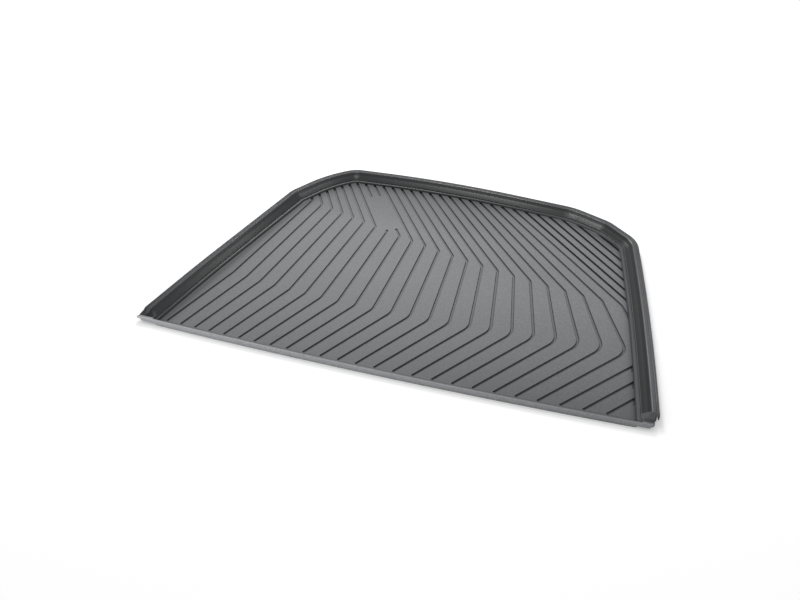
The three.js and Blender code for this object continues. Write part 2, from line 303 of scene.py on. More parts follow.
# finish of the rubber, with painted light and shade in its colours; widths and places in millimetres
rubberLook = {
    # the left and right sets hold painted light: the right side's rim, valley, flange, lines and ledge are
    # painted lighter and its wall darker than the left's
    "colours": {
        "left": {
            "floor": (0.204, 0.208, 0.217, 1),
            "rim": (0.078, 0.080, 0.085, 1),
            "valleyShade": (0.042, 0.043, 0.046, 1),
            "flange": (0.062, 0.064, 0.068, 1),
            "wall": (0.018, 0.019, 0.021, 1),
            "line": (0.030, 0.031, 0.033, 1),
            "ledge": (0.018, 0.019, 0.020, 1),
            "skirt": (0.040, 0.041, 0.044, 1),
        },
        "right": {
            "floor": (0.204, 0.208, 0.217, 1),
            "rim": (0.114, 0.117, 0.123, 1),
            "valleyShade": (0.070, 0.072, 0.076, 1),
            "flange": (0.104, 0.107, 0.112, 1),
            "wall": (0.009, 0.0095, 0.011, 1),
            "line": (0.110, 0.113, 0.119, 1),
            "ledge": (0.078, 0.080, 0.084, 1),
            "skirt": (0.040, 0.041, 0.044, 1),
        },
    },
    # painted shade: the valley bands darken the crease by the flange; painted highlight: the line bands
    # lighten the ledge's edges
    "bands": [  # distance inside the rim's edge, colour there
        (0.0, "skirt"), (0.8, "flange"), (4.2, "flange"), (4.9, "valleyShade"), (5.7, "valleyShade"),
        (6.6, "rim"), (12.4, "rim"), (14.6, "wall"), (28.6, "wall"), (29.6, "line"),
        (31.2, "wall"), (33.8, "ledge"), (35.6, "line"), (36.8, "ledge"), (38.6, "ledge"),
        (39.6, "floor"),
    ],
    "bandSpan": 48.0,
    # painted light: across this span the left side's colours give way to the right side's
    "sideLightSpan": (-50.0, 420.0),  # where the left colours give way to the right ones
    # painted shade: the rim's crown darkens towards the back, down to the least share
    "crown": {"inset": (12.4, 15.0), "y": (300.0, 660.0), "least": 0.70},
    # painted shade on the floor next to the foot of the walls
    "foot": {
        "shade": [
            (-3.0, 0.90), (-0.6, 0.44), (0.0, 0.40), (2.0, 0.50), (6.0, 0.74), (13.0, 0.92),
            (26.0, 0.98), (60.0, 1.0),
        ],
        "span": (-4.0, 80.0),
        "reach": {"left": 0.5, "back": 0.40, "right": 1.2},  # how fast the shade ends by a wall
        "blend": 14.0,
    },
    # painted shade: the floor darkens towards the front, most at the right, and towards the back at the
    # left
    "floorShading": {  # share of the floor's colour lost at a distance from the front
        "front": [
            (0.0, 0.40), (30.0, 0.38), (80.0, 0.28), (150.0, 0.16), (230.0, 0.08), (310.0, 0.0),
        ],
        "frontX": (-400.0, 200.0),
        "frontShare": (0.4, 1.0),
        "back": [(0.0, 0.0), (480.0, 0.0), (540.0, 0.13), (600.0, 0.24), (640.0, 0.36)],
        "backX": (20.0, 260.0),
        "backShare": (1.0, 0.0),
        "span": (0.0, 700.0),
        "inset": (36.0, 39.0),
    },
    # painted shade on the grooves' sides and floors, fainter around the back left as painted sheen
    "groove": {
        "side": 0.42,  # share of the floor's colour left on a groove's sides
        # the painted shade of the foot and grooves together goes no darker than this share
        "darkest": 0.36,
        "faintAt": (-215.0, 620.0, 0.0),
        "faintSpan": (90.0, 250.0),
        "faintShare": 0.25,
    },
    # painted light and shade: the lip is lighter at the left than at the right, its front face lighter, and
    # its top and the floor just behind it darker
    "lip": {
        "left": (0.46, 0.47, 0.485, 1),
        "right": (0.250, 0.255, 0.265, 1),
        "x": (-450.0, 400.0),
        "edge": (5.4, 6.4),
        "shade": [
            (-2.0, 1.08), (0.4, 1.02), (2.0, 0.72), (3.4, 0.66), (5.0, 0.56), (9.6, 0.60), (15.0, 1.0),
        ],
        "span": (-2.0, 15.0),
    },
    # painted light: the right corner block's slope takes a lighter colour than the wall beside it
    "block": {  # where the right corner block is
        "x": (400.0, 410.0),
        "y": (34.0, 37.0),
        "inset": (29.5, 31.5),
        "colour": (0.085, 0.087, 0.092, 1),
    },
    "mottle": {"scale": 260.0, "detail": 3.0, "noise": (0.3, 0.7), "shade": (0.88, 1.12), "roughness": 0.1},
    "gloss": {"inset": (31.0, 35.0), "roughness": (0.26, 0.50), "specular": (0.34, 0.22)},
    "grain": {"scale": 900.0, "strength": 0.22, "height": 0.4},
}


def times(numbers, factor):
    return tuple(number * factor for number in numbers)


def rampNode(tree, x, y, share, stops, span):
    # stops of (place, value or colour) over a span of places
    node = addNode(tree, "ShaderNodeValToRGB", x, y)
    ramp = node.color_ramp
    low, high = span
    while len(ramp.elements) < len(stops):
        ramp.elements.new(0.5)
    for element, (place, value) in zip(ramp.elements, stops):
        element.position = (place - low) / (high - low)
        element.color = value if isinstance(value, tuple) else (value, value, value, 1)
    tree.links.new(share, node.inputs["Fac"])
    return node.outputs["Color"]


def mathNode(tree, x, y, operation, *values):
    # values are sockets or constants
    node = addNode(tree, "ShaderNodeMath", x, y, operation=operation)
    for slot, value in zip(node.inputs, values):
        if isinstance(value, (int, float)):
            slot.default_value = value
        else:
            tree.links.new(value, slot)
    return node.outputs["Value"]


def rangeNode(tree, x, y, value, span, result, clamp=True):
    node = addNode(tree, "ShaderNodeMapRange", x, y, clamp=clamp)
    for name, number in zip(("From Min", "From Max", "To Min", "To Max"), (*span, *result)):
        node.inputs[name].default_value = number
    tree.links.new(value, node.inputs["Value"])
    return node.outputs["Result"]


def insetRange(tree, x, y, place, distances, result):
    # over distances inside the rim's edge
    return rangeNode(tree, x, y, place["inset"], times(distances, 1 / rubberLook["bandSpan"]), result)


def mixColour(tree, x, y, share, first, second):
    node = addNode(tree, "ShaderNodeMix", x, y, data_type="RGBA")
    slots = {slot.identifier: slot for slot in node.inputs}
    tree.links.new(share, slots["Factor_Float"])
    for name, value in (("A_Color", first), ("B_Color", second)):
        if isinstance(value, tuple):
            slots[name].default_value = value
        else:
            tree.links.new(value, slots[name])
    return next(slot for slot in node.outputs if slot.identifier == "Result_Color")


def scaleColour(tree, x, y, colour, factor):
    node = addNode(tree, "ShaderNodeVectorMath", x, y, operation="SCALE")
    tree.links.new(colour, node.inputs[0])
    tree.links.new(factor, node.inputs["Scale"])
    return node.outputs["Vector"]


def placeSockets(tree):
    # where a point lies, and what its attributes say of it
    where = addNode(tree, "ShaderNodeTexCoord", -3000, -200)
    parts = addNode(tree, "ShaderNodeSeparateXYZ", -2600, 400)
    tree.links.new(where.outputs["Object"], parts.inputs[0])
    place = {"point": where.outputs["Object"], "x": parts.outputs["X"], "y": parts.outputs["Y"]}
    for key, attributeName, y in (("inset", "insetShare", 800), ("cut", "paintedGrooveShading", 600)):
        attribute = addNode(tree, "ShaderNodeAttribute", -2600, y)
        attribute.attribute_name = attributeName
        place[key] = attribute.outputs["Fac"]
    return place


def bandColour(tree, place, look):
    # colour by distance from the rim's edge, with the painted light that makes the right side differ from
    # the left
    sides = []
    span = (0.0, look["bandSpan"])
    for row, colours in enumerate(look["colours"].values()):
        stops = [(distance, colours[colour]) for distance, colour in look["bands"]]
        sides.append(rampNode(tree, -1300, 1200 - 300 * row, place["inset"], stops, span))
    toRight = rangeNode(tree, -1300, 1500, place["x"], times(look["sideLightSpan"], mm), (0, 1))
    return mixColour(tree, -900, 1200, toRight, *sides)


def paintedCrownShade(tree, place, crown):
    # painted shade: the crown of the rim darkens towards the back
    onCrown = insetRange(tree, -1300, 600, place, crown["inset"], (1, 0))
    farBack = rangeNode(tree, -1300, 400, place["y"], times(crown["y"], mm), (0, 1 - crown["least"]))
    loss = mathNode(tree, -1100, 500, "MULTIPLY", onCrown, farBack)
    return mathNode(tree, -900, 500, "SUBTRACT", 1.0, loss)


def wallDistance(tree, point, foot):
    # metres in from the foot of the walls, times each wall's reach, blended where two walls meet
    path = rimPath
    corners = [(path["leftFront"] * path["halfWidth"], path["frontY"])]
    corners += [(c[0] * path["halfWidth"], c[1] * path["depth"]) for c in path["corners"]]
    corners.append((path["rightFront"] * path["halfWidth"], path["frontY"]))
    nearest = None
    for i, (a, b) in enumerate(zip(corners, corners[1:])):
        way = Vector((b[0] - a[0], b[1] - a[1])).normalized()
        side = Vector((way.y, -way.x, 0))
        level = (side.x * a[0] + side.y * a[1] + wallShape["footInset"]) * mm
        wall = "back" if abs(way.x) > abs(way.y) else "left" if way.y > 0 else "right"
        across = addNode(tree, "ShaderNodeVectorMath", -2600, -200 * i, operation="DOT_PRODUCT")
        across.inputs[1].default_value = side
        tree.links.new(point, across.inputs[0])
        inside = mathNode(tree, -2400, -200 * i, "SUBTRACT", across.outputs["Value"], level)
        scaled = mathNode(tree, -2200, -200 * i, "MULTIPLY", inside, foot["reach"][wall])
        if nearest is None:
            nearest = scaled
        else:
            nearest = mathNode(tree, -2000, -200 * i, "SMOOTH_MIN", nearest, scaled, foot["blend"] * mm)
    return nearest


def paintedFootShade(tree, place, foot):
    # painted shade: the floor darkens next to the foot of the walls
    away = wallDistance(tree, place["point"], foot)
    share = rangeNode(tree, -1800, 0, away, times(foot["span"], mm), (0, 1))
    return rampNode(tree, -1500, 0, share, foot["shade"], foot["span"])


def grooveShade(tree, place, groove):
    # painted shade on the sides and floors of the grooves and painted light on their end faces, fainter at
    # the back left
    away = addNode(tree, "ShaderNodeVectorMath", -1700, -300, operation="DISTANCE")
    away.inputs[1].default_value = times(groove["faintAt"], mm)
    tree.links.new(place["point"], away.inputs[0])
    span = times(groove["faintSpan"], mm)
    clear = rangeNode(tree, -1500, -300, away.outputs["Value"], span, (groove["faintShare"], 1))
    dulled = mathNode(tree, -1300, -300, "MULTIPLY", place["cut"], clear)
    dulled = mathNode(tree, -1150, -300, "MINIMUM", dulled, place["cut"])
    return rangeNode(tree, -1000, -300, dulled, (0, 1), (1, groove["side"]), clamp=False)


def paintedFloorShade(tree, place, floorShading, onFloor):
    # painted shade: darker towards the front, most at the right, and towards the back at the left
    share = mathNode(tree, -1700, -600, "DIVIDE", place["y"], floorShading["span"][1] * mm)
    front = rampNode(tree, -1500, -600, share, floorShading["front"], floorShading["span"])
    back = rampNode(tree, -1500, -900, share, floorShading["back"], floorShading["span"])
    frontPart = rangeNode(tree, -1500, -1200, place["x"], times(floorShading["frontX"], mm), floorShading["frontShare"])
    backPart = rangeNode(tree, -1500, -1500, place["x"], times(floorShading["backX"], mm), floorShading["backShare"])
    frontLoss = mathNode(tree, -1200, -600, "MULTIPLY", front, frontPart)
    backLoss = mathNode(tree, -1200, -900, "MULTIPLY", back, backPart)
    loss = mathNode(tree, -1000, -700, "ADD", frontLoss, backLoss)
    loss = mathNode(tree, -850, -700, "MULTIPLY", loss, onFloor)
    return mathNode(tree, -700, -700, "SUBTRACT", 1.0, loss)


def blockPart(tree, place, block):
    # 1 on the right corner block, whose slope is painted lighter, 0 elsewhere
    nearFront = rangeNode(tree, -900, -1700, place["y"], times(block["y"], mm), (1, 0))
    atRight = rangeNode(tree, -900, -1900, place["x"], times(block["x"], mm), (0, 1))
    above = insetRange(tree, -900, -2100, place, block["inset"], (1, 0))
    onCorner = mathNode(tree, -700, -1800, "MULTIPLY", nearFront, atRight)
    return mathNode(tree, -500, -1800, "MULTIPLY", onCorner, above)


def edgeSocket(tree, place):
    # distance in from the bowed front edge, in metres
    share = mathNode(tree, -1700, -2300, "DIVIDE", place["x"], frontEdge["halfWidth"] * mm)
    square = mathNode(tree, -1400, -2300, "POWER", mathNode(tree, -1550, -2300, "ABSOLUTE", share), 2.0)
    bow = mathNode(tree, -1250, -2300, "MULTIPLY", square, frontEdge["setBack"] * mm)
    return mathNode(tree, -1100, -2300, "SUBTRACT", place["y"], bow)


def lipPart(tree, place, lip):
    # the lip along the front edge, painted lighter at the left: where it is, its colour and its painted
    # shade and light
    fromEdge = edgeSocket(tree, place)
    onLip = rangeNode(tree, -900, -2400, fromEdge, times(lip["edge"], mm), (1, 0))
    alongLip = rangeNode(tree, -900, -2600, place["x"], times(lip["x"], mm), (0, 1))
    colour = mixColour(tree, -600, -2500, alongLip, lip["left"], lip["right"])
    share = rangeNode(tree, -900, -2800, fromEdge, times(lip["span"], mm), (0, 1))
    shade = rampNode(tree, -700, -2800, share, lip["shade"], lip["span"])
    return onLip, colour, shade


def mottleNoise(tree, place, mottle):
    node = addNode(tree, "ShaderNodeTexNoise", -700, 1500)
    node.inputs["Scale"].default_value = mottle["scale"]
    node.inputs["Detail"].default_value = mottle["detail"]
    tree.links.new(place["point"], node.inputs["Vector"])
    return node.outputs["Fac"]


def setGloss(tree, shader, place, look, noise, onBlock):
    # smoother walls, matt floor and block
    gloss = look["gloss"]
    matt = insetRange(tree, -500, -300, place, gloss["inset"], (0, 1))
    matt = mathNode(tree, -350, -300, "MAXIMUM", matt, onBlock)
    uneven = mathNode(tree, -500, -450, "MULTIPLY", noise, look["mottle"]["roughness"])
    uneven = mathNode(tree, -350, -450, "MULTIPLY", uneven, matt)
    rough = rangeNode(tree, -150, -300, matt, (0, 1), gloss["roughness"])
    rough = mathNode(tree, 0, -300, "ADD", rough, uneven)
    specular = rangeNode(tree, -150, -600, matt, (0, 1), gloss["specular"])
    tree.links.new(rough, shader.inputs["Roughness"])
    tree.links.new(specular, shader.inputs["Specular IOR Level"])


def setGrain(tree, shader, place, grain, onFloor):
    # fine grain on the floor
    join = tree.links.new
    cells = addNode(tree, "ShaderNodeTexVoronoi", 0, -800)
    cells.inputs["Scale"].default_value = grain["scale"]
    join(place["point"], cells.inputs["Vector"])
    bump = addNode(tree, "ShaderNodeBump", 300, -400)
    bump.inputs["Distance"].default_value = grain["height"] * mm
    strength = rangeNode(tree, 100, -500, onFloor, (0, 1), (0.0, grain["strength"]))
    join(strength, bump.inputs["Strength"])
    join(cells.outputs["Distance"], bump.inputs["Height"])
    join(bump.outputs["Normal"], shader.inputs["Normal"])


def rubberMaterial(name, look):
    made = bpy.data.materials.new(name)
    made.use_nodes = True
    tree = made.node_tree
    tree.nodes.clear()
    output = addNode(tree, "ShaderNodeOutputMaterial", 900, 0)
    shader = addNode(tree, "ShaderNodeBsdfPrincipled", 600, 0)
    place = placeSockets(tree)
    onFloor = insetRange(tree, -1700, 900, place, look["floorShading"]["inset"], (0, 1))
    foot = paintedFootShade(tree, place, look["foot"])
    groove = grooveShade(tree, place, look["groove"])
    crown = paintedCrownShade(tree, place, look["crown"])
    floorShading = paintedFloorShade(tree, place, look["floorShading"], onFloor)
    # painted shade: by the walls' foot, on the grooves, on the crown and across the floor
    shade = mathNode(tree, -800, 100, "MULTIPLY", foot, groove)
    shade = mathNode(tree, -650, 100, "MAXIMUM", shade, look["groove"]["darkest"])
    shade = mathNode(tree, -500, 100, "MULTIPLY", shade, crown)
    shade = mathNode(tree, -350, 100, "MULTIPLY", shade, floorShading)
    body = scaleColour(tree, -200, 200, bandColour(tree, place, look), shade)
    onBlock = blockPart(tree, place, look["block"])
    body = mixColour(tree, -50, 200, onBlock, body, look["block"]["colour"])
    onLip, lipColourAndLight, lipShade = lipPart(tree, place, look["lip"])
    mixed = mixColour(tree, 100, 200, onLip, body, lipColourAndLight)
    noise = mottleNoise(tree, place, look["mottle"])
    mottleAndLipShade = rangeNode(tree, -500, 1500, noise, look["mottle"]["noise"], look["mottle"]["shade"])
    # the lip's painted shade and light ride on the mottle
    mottleAndLipShade = mathNode(tree, -300, 1500, "MULTIPLY", mottleAndLipShade, lipShade)
    tree.links.new(scaleColour(tree, 300, 200, mixed, mottleAndLipShade), shader.inputs["Base Color"])
    setGloss(tree, shader, place, look, noise, onBlock)
    setGrain(tree, shader, place, look["grain"], onFloor)
    tree.links.new(shader.outputs["BSDF"], output.inputs["Surface"])
    return made


linerRubber = rubberMaterial("linerRubber", rubberLook)

# walls, floor and corner blocks


def edgeY(x):
    return frontEdge["setBack"] * (x / frontEdge["halfWidth"]) ** 2


def upTo(line, y):
    # the part of a line before it first rises past y
    kept = [line[0]]
    for here, after in zip(line, line[1:]):
        if after[1] >= y:
            share = (y - here[1]) / (after[1] - here[1])
            kept.append(here + (after - here) * share)
            break
        kept.append(after)
    return np.array(kept)


floorHeight = wallShape["floorHeight"]
slabLine = inset(rim, wallShape["slabInset"])
frontXs = np.linspace(slabLine[-1][0], slabLine[0][0], frontEdge["steps"] + 1)
slabOutline = [tuple(p) for p in slabLine[1:-1]] + [(x, edgeY(x)) for x in frontXs]
walls = sweepObject("walls", [longRim], wallShape["section"], linerRubber)
slab = prismObject("slab", slabOutline, 0.0, floorHeight)
leftStart = upTo(longRim, wallShape["blockEndY"])
rightStart = upTo(longRim[::-1], wallShape["blockEndY"])[::-1]
leftBlock = sweepObject("leftBlock", [leftStart], wallShape["blockSection"], linerRubber)
rightBlock = sweepObject("rightBlock", [rightStart], wallShape["blockSection"], linerRubber)
frontY = rimPath["frontY"]
frontCut = wallShape["frontCut"]
cutSide, cutY = frontCut["halfWidth"], frontCut["y"]
frontOutline = [(-cutSide, cutY), (cutSide, cutY), (cutSide, frontY), (-cutSide, frontY)]
frontBox = prismObject("frontBox", frontOutline, frontCut["bottom"], frontCut["top"])
shell = combine(
    walls,
    [("UNION", leftBlock), ("UNION", rightBlock), ("DIFFERENCE", frontBox), ("UNION", slab)],
    "shell",
)
print("walls, blocks and floor joined:", len(shell.data.vertices), "points")

# front corners and lip

cornerShape = {
    "flangeEndLeft": 24.0,
    "flangeEndRight": 28.5,
    "insetLeft": 4.8,
    "insetRight": 8.2,
    "radiusLeft": 2.5,
    "radiusRight": 9.0,
    "slopeTop": 35.0,
    "slopeBottom": 17.5,
    "lipHeight": 12.0,
    "lipBottom": 6.0,
    "earReach": 3.8,
    "earY": 11.0,
    "earBottom": 9.2,
    "earRoot": 2.0,
    "earBack": 4.0,
    "earShoulder": (2.2, 1.0),
    "earTip": 2.4,
    "bandCut": {"outside": 20.0, "bottom": 4.0, "top": 42.0},
    "cornerCut": {"beyond": 2.0, "steps": 10, "over": 10.0},
    "slopeCut": {"halfWidth": 560.0, "front": 30.0, "step": (2.0, 1.2), "over": 20.0},
    "slopeRadius": 1.6,
    "slopeSteps": 4,
    "underCut": {"beyond": 20.0, "points": 49, "y": -30.0, "bottom": -2.0},
}
lipShape = {
    "section": [
        (-0.6, 6.0), (1.6, 6.0), (1.6, 9.6), (0.4, 11.5), (-2.6, 12.0), (-4.3, 11.0),
        (-7.9, 6.8), (-9.8, 4.9), (-9.8, 3.0), (-0.6, 3.0),
    ],
    "left": -502.0,
    "right": 484.0,
    "steps": 60,
    "edgeRadius": 0.5,
    "edgeSteps": 3,
}
corner = cornerShape
rimLeft, rimRight = rim[0][0], rim[-1][0]
rimHeight = wallShape["rimHeight"]


def bandCut(name, line, width):
    # all that lies outside a line run along the rim
    cut = corner["bandCut"]
    outside, bottom, top = -cut["outside"], cut["bottom"], cut["top"]
    section = [(outside, bottom), (width, bottom), (width, top), (outside, top)]
    return sweepObject(name, [line], section, linerRubber, radius=0.0, steps=1)


bandLeft = bandCut("bandLeft", upTo(longRim, corner["flangeEndLeft"]), corner["insetLeft"])
bandRight = bandCut(
    "bandRight", upTo(longRim[::-1], corner["flangeEndRight"])[::-1], corner["insetRight"]
)


def cornerCut(name, x, inward, radius):
    # what lies outside a rounded front corner
    cut = corner["cornerCut"]
    beyond, steps = cut["beyond"], cut["steps"]
    outline = [(x - inward * beyond, frontY - beyond), (x - inward * beyond, frontY + radius)]
    for i in range(steps + 1):
        angle = math.pi / 2 * i / steps
        outline.append(
            (x + inward * radius * (1 - math.cos(angle)), frontY + radius * (1 - math.sin(angle)))
        )
    outline.append((x + inward * radius, frontY - beyond))
    return prismObject(name, outline, -beyond, rimHeight + cut["over"])


cutLeft = cornerCut("cutLeft", rimLeft + corner["insetLeft"], 1, corner["radiusLeft"])
cutRight = cornerCut("cutRight", rimRight - corner["insetRight"], -1, corner["radiusRight"])
root = rimLeft + corner["insetLeft"] + corner["earRoot"]
earBack = corner["flangeEndLeft"] + corner["earBack"]
shoulderX, shoulderY = corner["earShoulder"]
ear = prismObject(
    "ear",
    [
        (root, frontY),
        (root, earBack),
        (rimLeft + corner["insetLeft"], earBack),
        (rimLeft + shoulderX, corner["flangeEndLeft"] + shoulderY),
        (rimLeft - corner["earReach"], corner["earY"]),
        (rimLeft - corner["earReach"] + corner["earTip"], frontY),
    ],
    corner["earBottom"],
    rimHeight,
)
cut = corner["slopeCut"]
stepY, stepHeight = cut["step"]
slope = sweepObject(
    "slope",
    [np.array([(-cut["halfWidth"], 0.0), (cut["halfWidth"], 0.0)])],
    [
        (cut["front"], corner["lipHeight"]),
        (-corner["slopeBottom"], corner["lipHeight"]),
        (-corner["slopeTop"], rimHeight),
        (-corner["slopeTop"] - stepY, rimHeight + stepHeight),
        (-corner["slopeTop"] - stepY, rimHeight + cut["over"]),
        (cut["front"], rimHeight + cut["over"]),
    ],
    linerRubber,
    corner["slopeRadius"],
    corner["slopeSteps"],
)
cut = corner["underCut"]
underSide = frontEdge["halfWidth"] + cut["beyond"]
underXs = np.linspace(-underSide, underSide, cut["points"])
underOutline = [(x, edgeY(x)) for x in underXs] + [(underXs[-1], cut["y"]), (underXs[0], cut["y"])]
underLip = prismObject("underLip", underOutline, cut["bottom"], corner["lipBottom"])
lipXs = np.linspace(lipShape["left"], lipShape["right"], lipShape["steps"] + 1)
lipLine = np.array([(x, edgeY(x)) for x in lipXs])
lip = sweepObject(
    "lip",
    [lipLine],
    lipShape["section"],
    linerRubber,
    lipShape["edgeRadius"],
    lipShape["edgeSteps"],
)
shell = combine(
    shell,
    [
        ("DIFFERENCE", bandLeft), ("DIFFERENCE", bandRight), ("DIFFERENCE", cutLeft),
        ("DIFFERENCE", cutRight), ("UNION", ear), ("DIFFERENCE", slope),
        ("DIFFERENCE", underLip), ("UNION", lip),
    ],
    "cornered",
)
print("front corners and lip made:", len(shell.data.vertices), "points")

# grooves

grooveRule = {
    "count": 29,
    "lastParallel": 23,
    "frontRow": (1, 25, -451.1, 409.1, 129.5),
    "lowerRow": (1, 22, -399.6, 423.9, 124.0),
    "upperRow": (1, 23, -351.9, 396.4, 118.9),
    "backRow": (4, 29, -329.6, 295.7, 57.4),
    "guideHalfWidth": 450.0,
    "lowerGuide": (226.6, 152.5, 189.9, 202.2),
    "upperGuide": (576.1, 461.7, 355.7, 342.7),
    "backY": 620.0,
    "endReach": 90.0,
    "frontMargin": 14.5,
    "section": [
        (-2.1, 2.0), (2.1, 2.0), (2.5, 4.3), (3.1, 5.02), (3.1, 8.0), (-3.1, 8.0), (-3.1, 5.02),
        (-2.5, 4.3),
    ],
    "lowerBendRadius": 40.0,
    "upperBendRadius": 17.0,
    "bendSteps": 6,
    "footInset": 38.6,
    "ticks": (23, 25),  # grooves with a short hooked end at the foot of the wall
    "tickLength": 15.0,
    "tickWidth": 3.4,
    "tickHeights": (2.2, 8.0),
    "tickRadius": 0.3,
    "tickSteps": 2,
    "patch": (-174.6, 539.2, 150.0, 40.0, -60.0),  # centre, length, width, turn in degrees
    "cutHeights": (-1.0, 30.0),
}
rule = grooveRule


def spaced(row, index):
    low, high, first, last, growth = row
    t = (index - low) / (high - low)
    return first * (1 - t) + last * t + growth * (t * t - t)


def guideY(heights, x):
    t = (x + rule["guideHalfWidth"]) / (2 * rule["guideHalfWidth"])
    u = 1 - t
    return heights[0] * u**3 + heights[1] * 3 * u * u * t + heights[2] * 3 * u * t * t + heights[3] * t**3


def grooveCorners(index):
    last = rule["lastParallel"]
    frontX, backX = spaced(rule["frontRow"], index), spaced(rule["backRow"], index)
    lowerX = spaced(rule["lowerRow"], min(index, last))
    upperX = spaced(rule["upperRow"], min(index, last))
    front = np.array([frontX, edgeY(frontX) + rule["frontMargin"]])
    lower = np.array([lowerX, guideY(rule["lowerGuide"], lowerX)])
    upper = np.array([upperX, guideY(rule["upperGuide"], upperX)])
    back = np.array([backX, rule["backY"]])
    if index > last:
        lower[0] += frontX - spaced(rule["frontRow"], last)
        upper[0] += backX - spaced(rule["backRow"], last)
    beyond = (back - upper) / np.linalg.norm(back - upper) * rule["endReach"]
    return front, lower, upper, back + beyond


def meeting(start, towards, chain):
    # where a ray first meets a chain of points, and which way the chain runs there
    way = towards - start
    best = None
    for a, b in zip(chain, chain[1:]):
        span, gap = b - a, a - start
        cross = way[0] * span[1] - way[1] * span[0]
        along = (gap[0] * span[1] - gap[1] * span[0]) / cross
        across = (gap[0] * way[1] - gap[1] * way[0]) / cross
        if along > 0 and 0 <= across <= 1 and (best is None or along < best[0]):
            best = (along, start + way * along, span / np.linalg.norm(span))
    return best[1], best[2]


grooveTree, start, end = geometryTree(
    "cutGrooves",
    [
        ("Section", "NodeSocketObject", None),
        ("Bend steps", "NodeSocketInt", 6),
        ("Finish", "NodeSocketMaterial", None),
    ],
)
toCurve = addNode(grooveTree, "GeometryNodeMeshToCurve", -600, 100)
bendSize = addNode(grooveTree, "GeometryNodeInputNamedAttribute", -600, -100, data_type="FLOAT")
bendSize.inputs["Name"].default_value = "bendRadius"
bent = addNode(grooveTree, "GeometryNodeFilletCurve", -400, 100, mode="POLY")
bent.inputs["Limit Radius"].default_value = True
section = addNode(grooveTree, "GeometryNodeObjectInfo", -400, -250)
link = grooveTree.links.new
link(start.outputs["Geometry"], toCurve.inputs["Mesh"])
link(toCurve.outputs["Curve"], bent.inputs["Curve"])
link(bendSize.outputs["Attribute"], bent.inputs["Radius"])
link(start.outputs["Bend steps"], bent.inputs["Count"])
link(start.outputs["Section"], section.inputs["Object"])
sweepAndFinish(grooveTree, start, end, bent.outputs["Curve"], section.outputs["Geometry"])

footLine = inset(rim, rule["footInset"])
tickLine = inset(rim, rule["footInset"] + rule["tickWidth"] / 2)
grooveLines, bendSizes, tickLines = [], [], []
for index in range(1, rule["count"] + 1):
    front, lower, upper, back = grooveCorners(index)
    if index <= rule["lastParallel"]:
        grooveLines.append([front, lower, upper, back])
        bendSizes += [0.0, rule["lowerBendRadius"], rule["upperBendRadius"], 0.0]
    else:
        grooveLines.append([upper, back])
        bendSizes += [0.0, 0.0]
    if rule["lastParallel"] < index <= rule["frontRow"][1]:
        grooveLines.append([front, lower])
        bendSizes += [0.0, 0.0]
    if rule["ticks"][0] <= index <= rule["ticks"][1]:
        at, way = meeting(front, lower, tickLine)
        tickLines.append([at, at + way * rule["tickLength"]])
grooves = lineObject("grooveLines", grooveLines)
grooves.data.attributes.new("bendRadius", "FLOAT", "POINT").data.foreach_set(
    "value", [r * mm for r in bendSizes]
)
grooveSection = sectionObject("grooveSection", rule["section"])
useTree(
    grooves,
    grooveTree,
    **{"Section": grooveSection, "Bend steps": rule["bendSteps"], "Finish": linerRubber},
)
grooves = plainMesh(grooves, "grooves")
half = rule["tickWidth"] / 2
bottom, top = rule["tickHeights"]
tickSection = [(-half, bottom), (half, bottom), (half, top), (-half, top)]
ticks = sweepObject("ticks", tickLines, tickSection, linerRubber, rule["tickRadius"], rule["tickSteps"])
footOutline = [tuple(p) for p in footLine]
footOutline[0] = (footOutline[0][0], 0.0)
footOutline[-1] = (footOutline[-1][0], 0.0)
foot = prismObject("foot", footOutline, *rule["cutHeights"])
patchX, patchY, patchLength, patchWidth, patchTurn = rule["patch"]
turn = math.radians(patchTurn)
ax = np.array([math.cos(turn), math.sin(turn)]) * patchLength / 2
ay = np.array([-math.sin(turn), math.cos(turn)]) * patchWidth / 2
centre = np.array([patchX, patchY])
patchOutline = [tuple(centre + sx * ax + sy * ay) for sx, sy in ((-1, -1), (1, -1), (1, 1), (-1, 1))]
patch = prismObject("patch", patchOutline, *rule["cutHeights"])
grooves = combine(grooves, [("UNION", ticks), ("INTERSECT", foot), ("DIFFERENCE", patch)], "grooveCutters")
bpy.data.objects.remove(grooveSection)
liner = combine(shell, [("DIFFERENCE", grooves)], "bootLiner")
print("grooves cut:", len(liner.data.vertices), "points,", len(liner.data.polygons), "faces")

# how far each point lies inside the rim's edge, and how much painted shade or light each groove face takes

sideRule = {
    "lowest": 1.0,  # faces of a groove lie above this height
    "below": 0.05,  # and this far below the floor
    "behind": 11.0,  # and this far behind the front edge
    "leastUp": -0.3,
    "floorUp": 0.75,  # a face that looks up this much is a groove's floor
    # painted shade: groove floors take this share, and the whole of it within hookReach of the foot
    "floorShare": 0.25,
    "hookReach": 2.5,
    "endUp": 0.5,
    "endReach": 0.7,
    "endWidth": 7.5,
    # painted light: end faces by the wall's foot and by the bare patch take these values below 0, which
    # lighten them
    "footEnds": -3.0,
    "patchEnds": -1.2,
}


def edgeDistance(plan, line):
    nearest = np.full(len(plan), 1e9)
    for a, b in zip(line, line[1:]):
        way = b - a
        share = np.clip(((plan - a) @ way) / (way @ way), 0, 1)
        nearest = np.minimum(nearest, np.linalg.norm(plan - a - share[:, None] * way, axis=1))
    return nearest


def insetShare(mesh, line, span):
    points = np.empty(len(mesh.vertices) * 3)
    mesh.vertices.foreach_get("co", points)
    nearest = edgeDistance(points.reshape(-1, 3)[:, :2] / mm, line)
    attribute = mesh.attributes.new("insetShare", "FLOAT", "POINT")
    attribute.data.foreach_set("value", np.clip(nearest / span, 0, 1).astype(np.float32))


